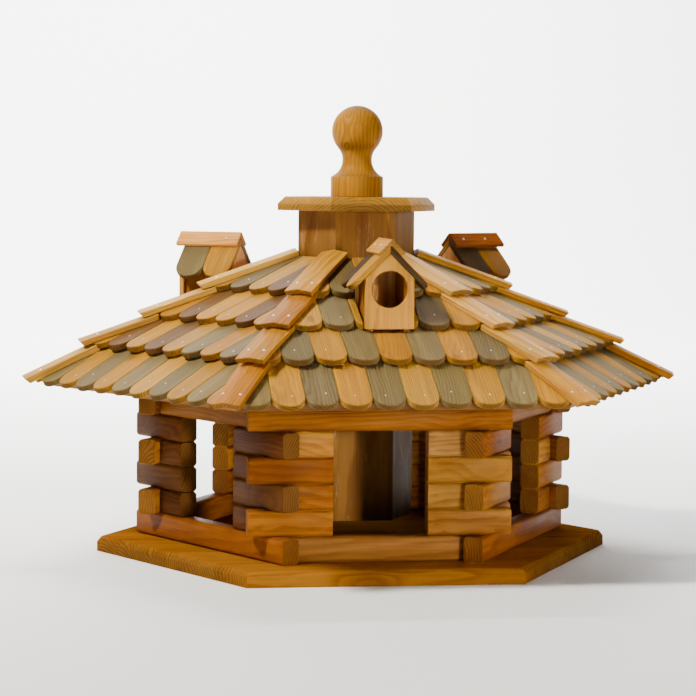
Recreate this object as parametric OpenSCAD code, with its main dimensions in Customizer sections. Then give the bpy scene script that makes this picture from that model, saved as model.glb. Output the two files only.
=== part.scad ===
// Hexagonal log-cabin bird feeder with a shingled roof, three dormers, a seed silo and a lift-off lid.
// Millimetres, +Z up, origin at the centre of the floor's underside, front opening towards -Y.

/* [Floor] */
// Centre to corner of the hexagonal floor
floor_r = 257; // [235:1:320]
// Thickness of the floor
floor_t = 15; // [10:0.5:22]
// Height of the chamfer round the floor's top edge
floor_chamfer_h = 5.5; // [1:0.5:8]
// Width of that chamfer
floor_chamfer_w = 4; // [1:0.5:8]

/* [Log walls] */
// Centre to the outer face of each wall
wall_a = 179.5; // [150:0.5:200]
// Thickness of a log, inside to outside
log_t = 19.5; // [14:0.5:26]
// Height of a log
log_h = 24.5; // [20:0.5:29]
// Chamfer along a log's four long edges
log_chamfer = 2.6; // [0.5:0.1:4]
// How far a log runs on past the corner
log_end = 20; // [8:0.5:30]
// Width of the opening in each wall
door_w = 89; // [60:1:110]
// Gap where a log butts against its neighbour
log_joint = 0.2; // [0.1:0.05:0.5]

/* [Silo] */
// Centre to corner of the hexagonal silo
silo_r = 58.8; // [45:0.2:72]
// Thickness of its plywood
silo_t = 6; // [4:0.5:9]
// Height of the seed gap under it
silo_gap = 19.5; // [10:0.5:30]
// Height of its top above the floor's underside
silo_top = 338.2; // [310:0.2:420]

/* [Roof] */
// Slope of the roof panels, degrees
pitch = 28.8; // [24:0.2:34]
// Centre to the eave line, where the first shingles end
eave_a = 276.4; // [255:0.2:330]
// Height of that line above the floor's underside
eave_z = 165.7; // [155:0.1:200]
// Thickness of a roof panel
panel_t = 8; // [5:0.5:12]
// How far the panels stop short of the eave line, up the slope
panel_setback = 13; // [5:0.5:20]
// Turn of the roof and silo on the walls, degrees
roof_turn = 1.9; // [0:0.1:4]
// Gap at the mitre between two panels
panel_joint = 0.4; // [0.1:0.1:1]

/* [Shingles] */
// Width of a shingle
shingle_w = 29.7; // [22:0.1:40]
// Gap between two shingles
shingle_gap = 0.4; // [0.2:0.1:1]
// Thickness of a shingle
shingle_t = 6.5; // [4:0.1:8]
// Length of a shingle
shingle_len = 80; // [66:0.5:96]
// Longest part of a shingle that may show
course_max = 60; // [48:0.5:60]
// Play between one course and the next
course_play = 0.25; // [0.15:0.05:0.6]
// Gap between the shingles and the mitre line at a hip
hip_gap = 1; // [0.5:0.1:2]

/* [Hip caps] */
// Half the width of a cap, seen from above
cap_w = 14; // [10:0.5:20]
// Play between a cap and the one that laps over it
cap_lap_play = 1.1; // [0.4:0.1:2]
// How far a cap's upper end is tucked under the next cap
cap_tuck = 14; // [8:0.5:18]
// How far a cap runs on past its shingles
cap_over = 8; // [3:0.5:12]
// Lean of a cap's lower end, degrees
cap_undercut = 25; // [0:1:35]

/* [Dormers] */
// Centre to the outer face of a dormer's front board
dormer_a = 183; // [175:0.5:190]
// Width of the front and rear boards
dormer_w = 46; // [40:0.5:54]
// Thickness of the front and rear boards and the cheeks
dormer_t = 5.5; // [4:0.5:7]
// How far the cheeks are set in from the boards' edges
cheek_inset = 3; // [1:0.5:5]
// Height of the dormer's ridge above the floor's underside
dormer_ridge_z = 315.3; // [305:0.1:325]
// Height of the lower edge of the front board
dormer_foot_z = 232; // [231:0.1:236]
// Radius of the round hole
dormer_hole_r = 17.2; // [12:0.1:18]
// Height of the middle of the hole above the foot of the board
dormer_hole_h = 36.6; // [34:0.1:40]
// Thickness of the dormer's shingles
dormer_shingle_t = 5.5; // [4:0.1:6.5]
// Length of the dormer's shingles
dormer_shingle_len = 49; // [42:0.5:54]
// Leg of the ridge cap's angle section
ridge_leg = 18; // [14:0.5:22]
// Thickness of the ridge cap
ridge_t = 4; // [3:0.1:5]
// How far the ridge cap runs out past the shingles
ridge_over = 7.8; // [3:0.1:12]

/* [Lid] */
// Centre to corner of the hexagonal lid
lid_r = 80; // [66:0.5:96]
// Thickness of the lid
lid_t = 13.8; // [10:0.2:18]
// Height of the chamfer round the lid's top edge
lid_chamfer_h = 7.2; // [3:0.1:8]
// Width of that chamfer
lid_chamfer_w = 6.5; // [3:0.1:9]
// Turn of the lid on the walls, degrees
lid_turn = 3.7; // [0:0.1:10]
// Thickness of the disc that keeps the lid in the silo's mouth
plug_t = 12; // [8:0.5:18]
// Play between that disc and the silo
plug_play = 1.5; // [0.5:0.1:3]
// Gap under the lid where it rests on the silo
lid_seat = 0.1; // [0.05:0.05:0.3]
// Radius of the dowel that joins finial, lid and disc
dowel_r = 5; // [3:0.5:7]
// Play between the dowel and its holes
dowel_play = 0.05; // [0.01:0.01:0.1]
// Depth of the dowel in the finial
dowel_in = 30; // [15:1:40]

/* [Finial] */
// Radius of the ball
ball_r = 25.3; // [21:0.1:29]
// Height of the middle of the ball above the lid
ball_h = 64.9; // [60:0.1:72]
// Radius of the neck
neck_r = 14.7; // [11:0.1:17]
// Radius of the foot
foot_r = 26.1; // [22:0.1:31]
// Height of the straight side of the foot
foot_h = 19.9; // [12:0.1:24]
// Radius of the hollow curve between foot and neck
foot_curve_r = 18; // [16:0.1:22]

/* [Nails] */
// Radius of a nail's head
nail_r = 1.3; // [0.8:0.1:2]
// Height of a nail's head above the wood
nail_h = 0.5; // [0.3:0.1:0.8]

/* [Hidden] */
$fn = 64;

// Walls are numbered 0 to 5 anticlockwise from the front; the dormers stand on walls 0, 2 and 4.
function wall_azimuth(f) = -90 + 60 * f;
function hip_azimuth(f) = -60 + 60 * f;
far = 500;

// Logs. Layer 0 is the sill, 1 to 4 stand beside the openings, and 5 and up run over them.
door_layers = 4;
inner_a = wall_a - log_t;
corner_s = wall_a * tan(30);
run_s = corner_s + log_end;
function runs_through(f, layer) = (f + layer) % 2 == 1;
function layer_z(layer) = floor_t + layer * log_h;
function butt_s(a) = (inner_a - log_joint - a / 2) / sin(60);

// Roof plane, measured on the panels' top faces.
function panel_z(a) = eave_z + (eave_a - a) * tan(pitch);
roof_seat = 0.1;
plate_layer = floor((panel_z(wall_a) - panel_t / cos(pitch) - floor_t - log_h / 3) / log_h);

// Silo.
silo_a = silo_r * cos(30);
silo_foot_z = floor_t + silo_gap;
silo_joint = 0.1;
silo_side_gap = 0.5;

// Courses. The first lies flat on the panel; each later one is tipped up by the course below it.
slope_len = (eave_a - silo_a - silo_side_gap) / cos(pitch) - shingle_t * tan(pitch);
courses = ceil((slope_len - shingle_len) / course_max) + 1;
course = (slope_len - shingle_len) / (courses - 1);
lift = (shingle_t + course_play) * shingle_len / course;
tilt = asin(lift / shingle_len);
shingle_step = shingle_w + shingle_gap;
least_width = 7;
function course_lift(row) = row == 0 ? 0 : lift;
function course_tilt(row) = row == 0 ? 0 : tilt;
function tip_a(row) = eave_a - row * course * cos(pitch) + course_lift(row) * sin(pitch);
function tip_z(row) = eave_z + row * course * sin(pitch) + course_lift(row) * cos(pitch);
function face_slope(row) = pitch - course_tilt(row);

// Hip caps. Each lies on one course's top faces, and its upper end is tucked under the next cap, in
// room cut for it in the next course. A cap fills the step between two courses, less the play.
cap_play = 0.15;
cap_end_gap = 0.8;
function top_a(row) = tip_a(row) + (shingle_t + cap_play) * sin(face_slope(row));
function top_z(row) = tip_z(row) + (shingle_t + cap_play) * cos(face_slope(row));
function cap_low_r(row) = top_a(row) / cos(30) + cap_over;
function cap_seat_z(row, r) = top_z(row) + (top_a(row) - r * cos(30)) * tan(face_slope(row));
function cap_tuck_r(row) = top_a(row + 1) / cos(30) - cap_tuck;
function cap_step(row) = cap_seat_z(row + 1, cap_tuck_r(row)) - cap_seat_z(row, cap_tuck_r(row));
function cap_t(row) = row < courses - 1
    ? cap_step(row) * cos(face_slope(row)) - cap_lap_play
    : shingle_t + course_play - cap_lap_play;
function cap_end_r(row) = row < courses - 1 ? cap_tuck_r(row) : silo_r + silo_side_gap;
function cap_high_r(row) = cap_end_r(row) + cap_t(row) * tan(face_slope(row));
function cap_slope(row) = atan(tan(face_slope(row)) * cos(30));
function cap_dip(row) = asin(sin(face_slope(row)) * sin(30));
function cap_ridge_z(row, r) = cap_seat_z(row, r) + cap_t(row) / cos(face_slope(row));
cap_nail_in = 9;

// Dormers. Roof slopes of 45 degrees, two shingles wide.
gable_z = dormer_ridge_z - (ridge_t + dormer_shingle_t) * sqrt(2);
dormer_front_a = dormer_a + 1;
dormer_rear_a = dormer_front_a - 2 * shingle_step;
dormer_back_a = dormer_rear_a + 1;
dormer_clear = 1;
cheek_s = dormer_w / 2 - cheek_inset;

// Lid and finial.
lid_z = silo_top + lid_seat;
lid_top_z = lid_z + lid_t;
ball_z = lid_top_z + ball_h;
foot_top_z = lid_top_z + foot_h;
foot_curve_x = neck_r + foot_curve_r;
foot_curve_z = foot_top_z + sqrt(pow(foot_curve_r, 2) - pow(foot_curve_x - foot_r, 2));
ball_drop = ball_z - foot_curve_z;
ball_curve_r = (pow(ball_drop, 2) + pow(neck_r, 2) - pow(ball_r, 2)) / (2 * (ball_r - neck_r));
ball_curve_x = neck_r + ball_curve_r;
ball_join = atan2(-ball_drop, ball_curve_x);
arc_steps = 16;

// Places children in a wall's own frame: x outward, y to the right as seen from outside.
module on_wall(f, turn = 0) {
    rotate([0, 0, wall_azimuth(f) + turn])
        children();
}

// Places children on a roof panel's plane: -x up the slope, z square out of the panel.
module on_panel(f) {
    on_wall(f, roof_turn)
        translate([eave_a, 0, eave_z])
            rotate([0, pitch, 0])
                children();
}

// One wall's sixth of the plan, from near_a outward, kept back from the mitre planes by gap.
module sector(near_a, gap) {
    inset = 2 * gap;
    linear_extrude(2 * far)
        polygon([
            [near_a, -(near_a - inset) * tan(30)],
            [far, -(far - inset) * tan(30)],
            [far, (far - inset) * tan(30)],
            [near_a, (near_a - inset) * tan(30)]
        ]);
}

// Hexagonal board with a chamfer round its top edge.
module chamfered_hexagon(r, t, chamfer_w, chamfer_h) {
    difference() {
        cylinder(r = r, h = t, $fn = 6);
        for (f = [0:5])
            rotate([0, 0, wall_azimuth(f)])
                translate([r * cos(30) - chamfer_w, 0, t])
                    rotate([0, atan(chamfer_h / chamfer_w), 0])
                        translate([-far / 2, -far, 0])
                            cube([far, 2 * far, far]);
    }
}

module base_plate() {
    color("#a9762f")
        chamfered_hexagon(floor_r, floor_t, floor_chamfer_w, floor_chamfer_h);
}

// Straight stretch of log with chamfered long edges, in the wall's frame.
module log_bar(z, h, s0, s1) {
    translate([inner_a, s1, z])
        rotate([90, 0, 0])
            linear_extrude(s1 - s0)
                polygon([
                    [log_chamfer, 0],
                    [log_t - log_chamfer, 0],
                    [log_t, log_chamfer],
                    [log_t, h - log_chamfer],
                    [log_t - log_chamfer, h],
                    [log_chamfer, h],
                    [0, h - log_chamfer],
                    [0, log_chamfer]
                ]);
}

// Log of one layer from s0 to s1. An end at the corner runs on, or is cut to meet the neighbour.
module log_piece(f, layer, s0, s1, h = log_h) {
    z = layer_z(layer);
    if (runs_through(f, layer))
        log_bar(z, h, s0, s1);
    else
        intersection() {
            log_bar(z, h, s0, s1);
            linear_extrude(far)
                polygon([
                    [inner_a, -butt_s(inner_a)],
                    [wall_a, -butt_s(wall_a)],
                    [wall_a, butt_s(wall_a)],
                    [inner_a, butt_s(inner_a)]
                ]);
        }
}

module sill_log(f) {
    color("#8f4f1c")
        on_wall(f)
            log_piece(f, 0, -run_s, run_s);
}

module wall_logs(f) {
    color("#a8641f")
        on_wall(f)
            for (layer = [1:door_layers]) {
                log_piece(f, layer, -run_s, -door_w / 2);
                log_piece(f, layer, door_w / 2, run_s);
            }
}

// Everything above the undersides of a wall's own roof panel and its two neighbours.
module over_roof(f) {
    for (side = [-1:1])
        on_panel(f + side)
            translate([-far, -far, -panel_t - roof_seat])
                cube([2 * far, 2 * far, far]);
}

// Lintel, filling logs and the wall plate, whose top is planed to the roof's slope.
module upper_logs(f) {
    color("#7d4317")
        difference() {
            on_wall(f)
                for (layer = [door_layers + 1:plate_layer])
                    log_piece(f, layer, -run_s, run_s, layer == plate_layer ? 3 * log_h : log_h);
            over_roof(f);
        }
}

module roof_panel(f) {
    color("#b98a4c")
        intersection() {
            on_panel(f)
                translate([-far, -far, -panel_t])
                    cube([far - panel_setback, 2 * far, panel_t]);
            on_wall(f, roof_turn)
                sector(silo_a + silo_side_gap, panel_joint / 2);
        }
}

// Flat shingle with a round lower end, its tip at the origin and its length along -x.
module shingle(w, len, t) {
    linear_extrude(t)
        union() {
            translate([-w / 2, 0])
                circle(d = w);
            translate([-len, -w / 2])
                square([len - w / 2, w]);
        }
}

module shingle_course(row) {
    shift = row % 2 == 0 ? 0.5 : 0;
    half = tip_a(row) * tan(30) - hip_gap;
    count = ceil(half / shingle_step) + 1;
    translate([-row * course, 0, course_lift(row)])
        rotate([0, -course_tilt(row), 0])
            for (i = [-count:count])
                if (abs(i + shift) * shingle_step - shingle_w / 2 < half - least_width)
                    translate([0, (i + shift) * shingle_step, 0])
                        shingle(shingle_w, shingle_len, shingle_t);
}

// Room that a dormer takes out of a course. The second course runs on to the back of the board.
module dormer_room(row) {
    half = dormer_w / 2 + dormer_clear;
    low_a = dormer_back_a - dormer_clear;
    high_a = row < 2 ? dormer_a - dormer_t : dormer_a + far;
    translate([low_a, -half, 0])
        cube([high_a - low_a, 2 * half, far]);
}

// Room in a course, beside both hips, for the upper ends of the caps on the course below.
module cap_room(f, row) {
    half = cap_w + cap_end_gap;
    for (side = [-0.5, 0.5])
        on_wall(f + side, roof_turn)
            translate([cap_end_r(row - 1) - cap_end_gap, -half, 0])
                cube([far, 2 * half, far]);
}

module shingles(f) {
    color(f % 2 == 0 ? "#8d8a63" : "#c79f68")
        for (row = [0:courses - 1])
            difference() {
                intersection() {
                    on_panel(f)
                        shingle_course(row);
                    on_wall(f, roof_turn)
                        sector(silo_a + silo_side_gap, hip_gap);
                }
                if (f % 2 == 0 && row > 0)
                    on_wall(f, roof_turn)
                        dormer_room(row);
                if (row > 0)
                    cap_room(f, row);
            }
}

// Shallow V that lies on one course's top faces, its length down the hip and its lower end undercut.
module hip_cap(row) {
    low_r = cap_low_r(row);
    ridge_dip = cap_dip(row);
    edge_z = -cap_w * tan(ridge_dip);
    foot_y = cap_w - cap_t(row) * sin(ridge_dip);
    foot_z = edge_z - cap_t(row) * cos(ridge_dip);
    translate([low_r, 0, cap_ridge_z(row, low_r)])
        rotate([0, cap_slope(row), 0])
            difference() {
                rotate([90, 0, -90])
                    linear_extrude((low_r - cap_high_r(row)) / cos(cap_slope(row)))
                        polygon([
                            [0, 0],
                            [-cap_w, edge_z],
                            [-foot_y, foot_z],
                            [0, -cap_t(row) / cos(ridge_dip)],
                            [foot_y, foot_z],
                            [cap_w, edge_z]
                        ]);
                rotate([0, cap_undercut, 0])
                    translate([0, -far, -far])
                        cube(2 * far);
            }
}

// Caps in a row up one hip, one to a course.
module hip_caps(f) {
    color("#c98f3a")
        rotate([0, 0, hip_azimuth(f) + roof_turn])
            for (row = [0:courses - 1])
                hip_cap(row);
}

// Two nail heads on each cap, one on either flange.
module hip_cap_nails() {
    color("#d9d4c8")
        for (f = [0:5], row = [0:courses - 1], side = [-1, 1])
            rotate([0, 0, hip_azimuth(f) + roof_turn + 30 * side])
                translate([eave_a, 0, eave_z])
                    rotate([0, pitch, 0])
                        translate([-row * course, 0, course_lift(row)])
                            rotate([0, -course_tilt(row), 0])
                                translate([
                                    -cap_nail_in,
                                    -side * (top_a(row) - cap_nail_in) * tan(30) + side * cap_w / 2,
                                    shingle_t + cap_play + cap_t(row)
                                ])
                                    cylinder(r = nail_r, h = nail_h);
}

module silo() {
    color("#8a5a2b")
        for (f = [0:5])
            on_wall(f, roof_turn)
                intersection() {
                    translate([silo_a - silo_t, -silo_r, silo_foot_z])
                        cube([silo_t, 2 * silo_r, silo_top - silo_foot_z]);
                    sector(1, silo_joint / 2);
                }
}

// Outline of a dormer's boards: straight sides under a 45 degree gable.
module gable_outline(half, foot_z) {
    polygon([
        [-half, foot_z],
        [half, foot_z],
        [half, gable_z - half],
        [0, gable_z],
        [-half, gable_z - half]
    ]);
}

// Stands a drawing of width and height up across the wall's frame, from x = a back to a - t.
module stand_up(a, t) {
    translate([a, 0, 0])
        rotate([90, 0, 90])
            translate([0, 0, -t])
                linear_extrude(t)
                    children();
}

module dormer_board(f) {
    color("#cf9a52")
        on_wall(f, roof_turn)
            difference() {
                stand_up(dormer_a, dormer_t)
                    gable_outline(dormer_w / 2, dormer_foot_z);
                translate([dormer_a + 1, 0, dormer_foot_z + dormer_hole_h])
                    rotate([0, -90, 0])
                        cylinder(r = dormer_hole_r, h = dormer_t + 2);
            }
}

// Two cheeks and the rear board, cut to stand on the roof panel.
module dormer_walls(f) {
    cheek_len = dormer_a - dormer_t - dormer_back_a - dormer_t;
    color("#b57f3f")
        difference() {
            on_wall(f, roof_turn) {
                stand_up(dormer_back_a + dormer_t, dormer_t)
                    gable_outline(dormer_w / 2, eave_z);
                for (side = [-1, 1])
                    stand_up(dormer_a - dormer_t, cheek_len)
                        polygon([
                            [side * cheek_s, eave_z],
                            [side * cheek_s, gable_z - cheek_s],
                            [side * (cheek_s - dormer_t), gable_z - cheek_s + dormer_t],
                            [side * (cheek_s - dormer_t), eave_z]
                        ]);
            }
            on_panel(f)
                translate([-far, -far, -far])
                    cube([2 * far, 2 * far, far]);
        }
}

// Two shingles on each slope, side by side along the ridge.
module dormer_shingles(f) {
    color("#8f865a")
        on_wall(f, roof_turn)
            for (side = [-1, 1], i = [0, 1])
                translate([dormer_front_a - (i + 0.5) * shingle_step, 0, gable_z])
                    mirror([0, side < 0 ? 1 : 0, 0])
                        rotate([-45, 0, 0])
                            rotate([0, 0, 90])
                                translate([dormer_shingle_len, 0, 0])
                                    dormer_shingle();
}

// Dormer shingle, its upper end planed upright so that the two slopes meet at the ridge.
module dormer_shingle() {
    difference() {
        shingle(shingle_w, dormer_shingle_len + 1.5 * dormer_shingle_t, dormer_shingle_t);
        translate([-dormer_shingle_len, -shingle_w, 0])
            rotate([0, -135, 0])
                translate([0, 0, -far])
                    cube([far, 2 * shingle_w, 2 * far]);
    }
}

module dormer_ridge(f) {
    len = dormer_front_a + ridge_over - dormer_rear_a;
    reach = ridge_leg / sqrt(2);
    depth = ridge_t * sqrt(2);
    notch = ridge_t / sqrt(2);
    color("#d6a466")
        on_wall(f, roof_turn)
            stand_up(dormer_front_a + ridge_over, len)
                polygon([
                    [0, dormer_ridge_z],
                    [reach, dormer_ridge_z - reach],
                    [reach - notch, dormer_ridge_z - reach - notch],
                    [0, dormer_ridge_z - depth],
                    [notch - reach, dormer_ridge_z - reach - notch],
                    [-reach, dormer_ridge_z - reach]
                ]);
}

// Two nail heads on each leg of each ridge cap.
module dormer_nails() {
    color("#d9d4c8")
        for (f = [0, 2, 4], side = [-1, 1], i = [0, 1])
            on_wall(f, roof_turn)
                translate([dormer_front_a - (i + 0.5) * shingle_step, 0, dormer_ridge_z])
                    rotate([-45 * side, 0, 0])
                        translate([0, side * ridge_leg / 2, 0])
                            cylinder(r = nail_r, h = nail_h);
}

module lid_plate() {
    color("#b07a33")
        difference() {
            rotate([0, 0, lid_turn])
                translate([0, 0, lid_z])
                    chamfered_hexagon(lid_r, lid_t, lid_chamfer_w, lid_chamfer_h);
            translate([0, 0, lid_z - 1])
                cylinder(r = dowel_r + dowel_play, h = lid_t + 2);
        }
}

module lid_plug() {
    color("#b98a4c")
        translate([0, 0, lid_z - plug_t])
            difference() {
                cylinder(r = silo_a - silo_t - plug_play, h = plug_t);
                translate([0, 0, -1])
                    cylinder(r = dowel_r + dowel_play, h = plug_t + 2);
            }
}

module lid_dowel() {
    color("#d0a870")
        translate([0, 0, lid_z - plug_t])
            cylinder(r = dowel_r, h = plug_t + lid_t + dowel_in);
}

function arc(x, z, r, from, to) = [
    for (i = [0:arc_steps])
        let (a = from + (to - from) * i / arc_steps)
            [x + r * cos(a), z + r * sin(a)]
];

// Turned finial: foot, hollow curves either side of the neck, and the ball.
module finial() {
    foot_from = -180 + asin((foot_curve_z - foot_top_z) / foot_curve_r);
    color("#b5752c")
        difference() {
            rotate_extrude()
                polygon(concat(
                    [[0, lid_top_z], [foot_r, lid_top_z]],
                    arc(foot_curve_x, foot_curve_z, foot_curve_r, foot_from, -180),
                    arc(ball_curve_x, foot_curve_z, ball_curve_r, 180, 180 + ball_join),
                    arc(0, ball_z, ball_r, ball_join, 90)
                ));
            translate([0, 0, lid_top_z - 1])
                cylinder(r = dowel_r + dowel_play, h = dowel_in + 1 + dowel_play);
        }
}

base_plate();
sill_log(0);  // sill_log_front
sill_log(1);  // sill_log_front_right
sill_log(2);  // sill_log_back_right
sill_log(3);  // sill_log_back
sill_log(4);  // sill_log_back_left
sill_log(5);  // sill_log_front_left
wall_logs(0);  // wall_logs_front
wall_logs(1);  // wall_logs_front_right
wall_logs(2);  // wall_logs_back_right
wall_logs(3);  // wall_logs_back
wall_logs(4);  // wall_logs_back_left
wall_logs(5);  // wall_logs_front_left
upper_logs(0);  // upper_logs_front
upper_logs(1);  // upper_logs_front_right
upper_logs(2);  // upper_logs_back_right
upper_logs(3);  // upper_logs_back
upper_logs(4);  // upper_logs_back_left
upper_logs(5);  // upper_logs_front_left
roof_panel(0);  // roof_panel_front
roof_panel(1);  // roof_panel_front_right
roof_panel(2);  // roof_panel_back_right
roof_panel(3);  // roof_panel_back
roof_panel(4);  // roof_panel_back_left
roof_panel(5);  // roof_panel_front_left
shingles(0);  // shingles_front
shingles(1);  // shingles_front_right
shingles(2);  // shingles_back_right
shingles(3);  // shingles_back
shingles(4);  // shingles_back_left
shingles(5);  // shingles_front_left
hip_caps(0);  // hip_caps_front_right
hip_caps(1);  // hip_caps_right
hip_caps(2);  // hip_caps_back_right
hip_caps(3);  // hip_caps_back_left
hip_caps(4);  // hip_caps_left
hip_caps(5);  // hip_caps_front_left
silo();
dormer_board(0);  // dormer_board_front
dormer_walls(0);  // dormer_walls_front
dormer_shingles(0);  // dormer_shingles_front
dormer_ridge(0);  // dormer_ridge_front
dormer_board(2);  // dormer_board_right
dormer_walls(2);  // dormer_walls_right
dormer_shingles(2);  // dormer_shingles_right
dormer_ridge(2);  // dormer_ridge_right
dormer_board(4);  // dormer_board_left
dormer_walls(4);  // dormer_walls_left
dormer_shingles(4);  // dormer_shingles_left
dormer_ridge(4);  // dormer_ridge_left
hip_cap_nails();
dormer_nails();
lid_plate();
lid_plug();
lid_dowel();
finial();
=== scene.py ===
import math
import random

import bmesh
import bpy
from mathutils import Matrix, Vector


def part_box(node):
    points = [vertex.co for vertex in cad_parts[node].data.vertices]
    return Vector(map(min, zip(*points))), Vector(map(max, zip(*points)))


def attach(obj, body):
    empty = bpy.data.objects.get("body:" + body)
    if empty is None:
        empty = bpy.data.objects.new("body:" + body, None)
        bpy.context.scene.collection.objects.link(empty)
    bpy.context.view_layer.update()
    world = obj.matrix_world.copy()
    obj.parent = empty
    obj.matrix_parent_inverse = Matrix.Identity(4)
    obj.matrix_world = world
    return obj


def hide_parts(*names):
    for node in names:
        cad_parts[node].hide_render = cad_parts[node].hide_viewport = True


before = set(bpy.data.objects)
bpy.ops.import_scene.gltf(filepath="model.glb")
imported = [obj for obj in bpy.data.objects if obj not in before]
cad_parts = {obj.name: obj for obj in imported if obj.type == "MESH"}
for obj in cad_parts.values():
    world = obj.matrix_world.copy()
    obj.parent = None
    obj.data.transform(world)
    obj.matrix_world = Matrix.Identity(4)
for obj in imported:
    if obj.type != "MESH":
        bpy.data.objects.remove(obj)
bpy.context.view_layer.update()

# ------------------------------------------------------------
# Camera: a long lens a little above the eaves, turned slightly past the front wall's middle.
# It comes first because nothing else depends on it.
VIEW_YAW = math.radians(-7.78)
VIEW_PITCH = math.radians(4.22)
VIEW_ROLL = math.radians(0.52)
VIEW_DISTANCE = 2.3037
AIM_RIGHT = -0.0074
AIM_UP = 0.2011
LENS = 119.2
SENSOR_W = 36
NEAREST = 0.05

view_back = Vector((
    math.sin(VIEW_YAW) * math.cos(VIEW_PITCH),
    -math.cos(VIEW_YAW) * math.cos(VIEW_PITCH),
    math.sin(VIEW_PITCH),
))
view_right = Vector((math.cos(VIEW_YAW), math.sin(VIEW_YAW), 0))
view_up = view_back.cross(view_right)
rolled_right = view_right * math.cos(VIEW_ROLL) + view_up * math.sin(VIEW_ROLL)
rolled_up = view_up * math.cos(VIEW_ROLL) - view_right * math.sin(VIEW_ROLL)
camera_data = bpy.data.cameras.new("camera")
camera_data.lens = LENS
camera_data.sensor_width = SENSOR_W
camera_data.clip_start = NEAREST
camera = bpy.data.objects.new("camera", camera_data)
stand = view_right * AIM_RIGHT + Vector((0, 0, AIM_UP)) + view_back * VIEW_DISTANCE
turn = Matrix((rolled_right, rolled_up, view_back)).transposed()
camera.matrix_world = Matrix.Translation(stand) @ turn.to_4x4()
bpy.context.collection.objects.link(camera)
bpy.context.scene.camera = camera

# ------------------------------------------------------------
# Floor board: softwood staves glued edge to edge, sawn to a hexagon, stained honey brown.
# Its top edge has a wide chamfer. Everything else stands on it.
MM = 0.001
COS_30 = math.cos(math.radians(30))
STAVE_W = 71 * MM
STAVES_EACH_SIDE = 4
FLOOR_CHAMFER_W = 4 * MM
FLOOR_CHAMFER_H = 5.5 * MM
SAWN_EDGE = 0.6 * MM
FLOOR_STAIN = (0.54, 0.355, 0.11)
EYE_GAMMA = 2.2
WARMTH = 0.25
TREE_LENGTH = 8
PITH_ASIDE = 0.03
PITH_DEPTH = (0.012, 0.05)
SAW_PLAY = 1e-7
LATE_WOOD = (0.46, 0.30, 0.19, 1)
EARLY_WOOD = (1.45, 1.38, 1.20, 1)
STREAKED = (0.60, 0.47, 0.38, 1)
BLOTCHED = (0.52, 0.36, 0.26, 1)
WEATHERED = (0.16, 0.135, 0.10, 1)
RESIN = (0.09, 0.045, 0.02, 1)
KNOT = (0.060, 0.024, 0.010, 1)
END_RING = (0.30, 0.22, 0.16, 1)
COAT_ROUGHNESS = 0.32
COAT_IOR = 1.3

random.seed(11)


def stain(red, green, blue):
    """Turns a colour as the eye reads it into the linear colour that shaders use."""
    return [pow(value, EYE_GAMMA) for value in (red, green, blue)] + [1.0]


def shade(colour, amount):
    """A colour made lighter or darker, and a touch warmer or cooler, by a random draw."""
    light = 1 + random.uniform(-amount, amount)
    warm = 1 + random.uniform(-amount, amount) * WARMTH
    return (colour[0] * light * warm, colour[1] * light, colour[2] * light / warm)


def prism(outline, depth):
    """Closed solid: an outline in x and y, raised by depth."""
    bm = bmesh.new()
    face = bm.faces.new([bm.verts.new((x, y, 0)) for x, y in outline])
    raised = bmesh.ops.extrude_face_region(bm, geom=[face])["geom"]
    top = [part for part in raised if isinstance(part, bmesh.types.BMVert)]
    bmesh.ops.translate(bm, verts=top, vec=(0, 0, depth))
    bmesh.ops.recalc_face_normals(bm, faces=bm.faces)
    return bm


def soften(bm, edges, width, segments=1):
    """Rounds or chamfers edges."""
    bmesh.ops.bevel(
        bm, geom=list(edges), offset=width, offset_type="OFFSET", segments=segments,
        profile=0.5, affect="EDGES", material=-1, clamp_overlap=True,
    )


def saw(bm, point, normal):
    """Cuts off what lies beyond a plane and closes the cut."""
    whole = list(bm.verts) + list(bm.edges) + list(bm.faces)
    bmesh.ops.bisect_plane(
        bm, geom=whole, dist=SAW_PLAY, plane_co=point, plane_no=normal, clear_outer=True,
    )
    bmesh.ops.holes_fill(bm, edges=[edge for edge in bm.edges if edge.is_boundary], sides=0)


def season(bm, colour, along=(1, 0, 0), up=(0, 0, 1)):
    """Gives a piece its own place in the log: grain runs along, growth rings lie flat to up."""
    grain = bm.verts.layers.float_vector.new("grain")
    fibre = bm.verts.layers.float_vector.new("fibre")
    tint = bm.verts.layers.float_color.new("tint")
    along = Vector(along).normalized()
    up = Vector(up).normalized()
    across = up.cross(along)
    start = Vector((random.uniform(-TREE_LENGTH, TREE_LENGTH),
                    random.uniform(-PITH_ASIDE, PITH_ASIDE), random.uniform(*PITH_DEPTH)))
    for vert in bm.verts:
        vert[grain] = start + Vector((vert.co @ along, vert.co @ across, vert.co @ up))
        vert[fibre] = along
        vert[tint] = stain(*colour)


def turn_to(bm, place):
    """Turns a seasoned piece into its place, and its fibres with it."""
    turned = place.to_3x3()
    bmesh.ops.transform(bm, matrix=place, verts=bm.verts)
    fibre = bm.verts.layers.float_vector.get("fibre")
    for vert in bm.verts:
        vert[fibre] = (turned @ vert[fibre]).normalized()


def pile(stack, bm):
    """Adds a finished piece, already in its place, to the stack of pieces in one node."""
    loose = bpy.data.meshes.new("loose")
    bm.to_mesh(loose)
    bm.free()
    stack.from_mesh(loose)
    bpy.data.meshes.remove(loose)


def lay(stack, bm, place):
    """Turns a finished piece into its place and adds it to the stack."""
    turn_to(bm, place)
    pile(stack, bm)


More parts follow.
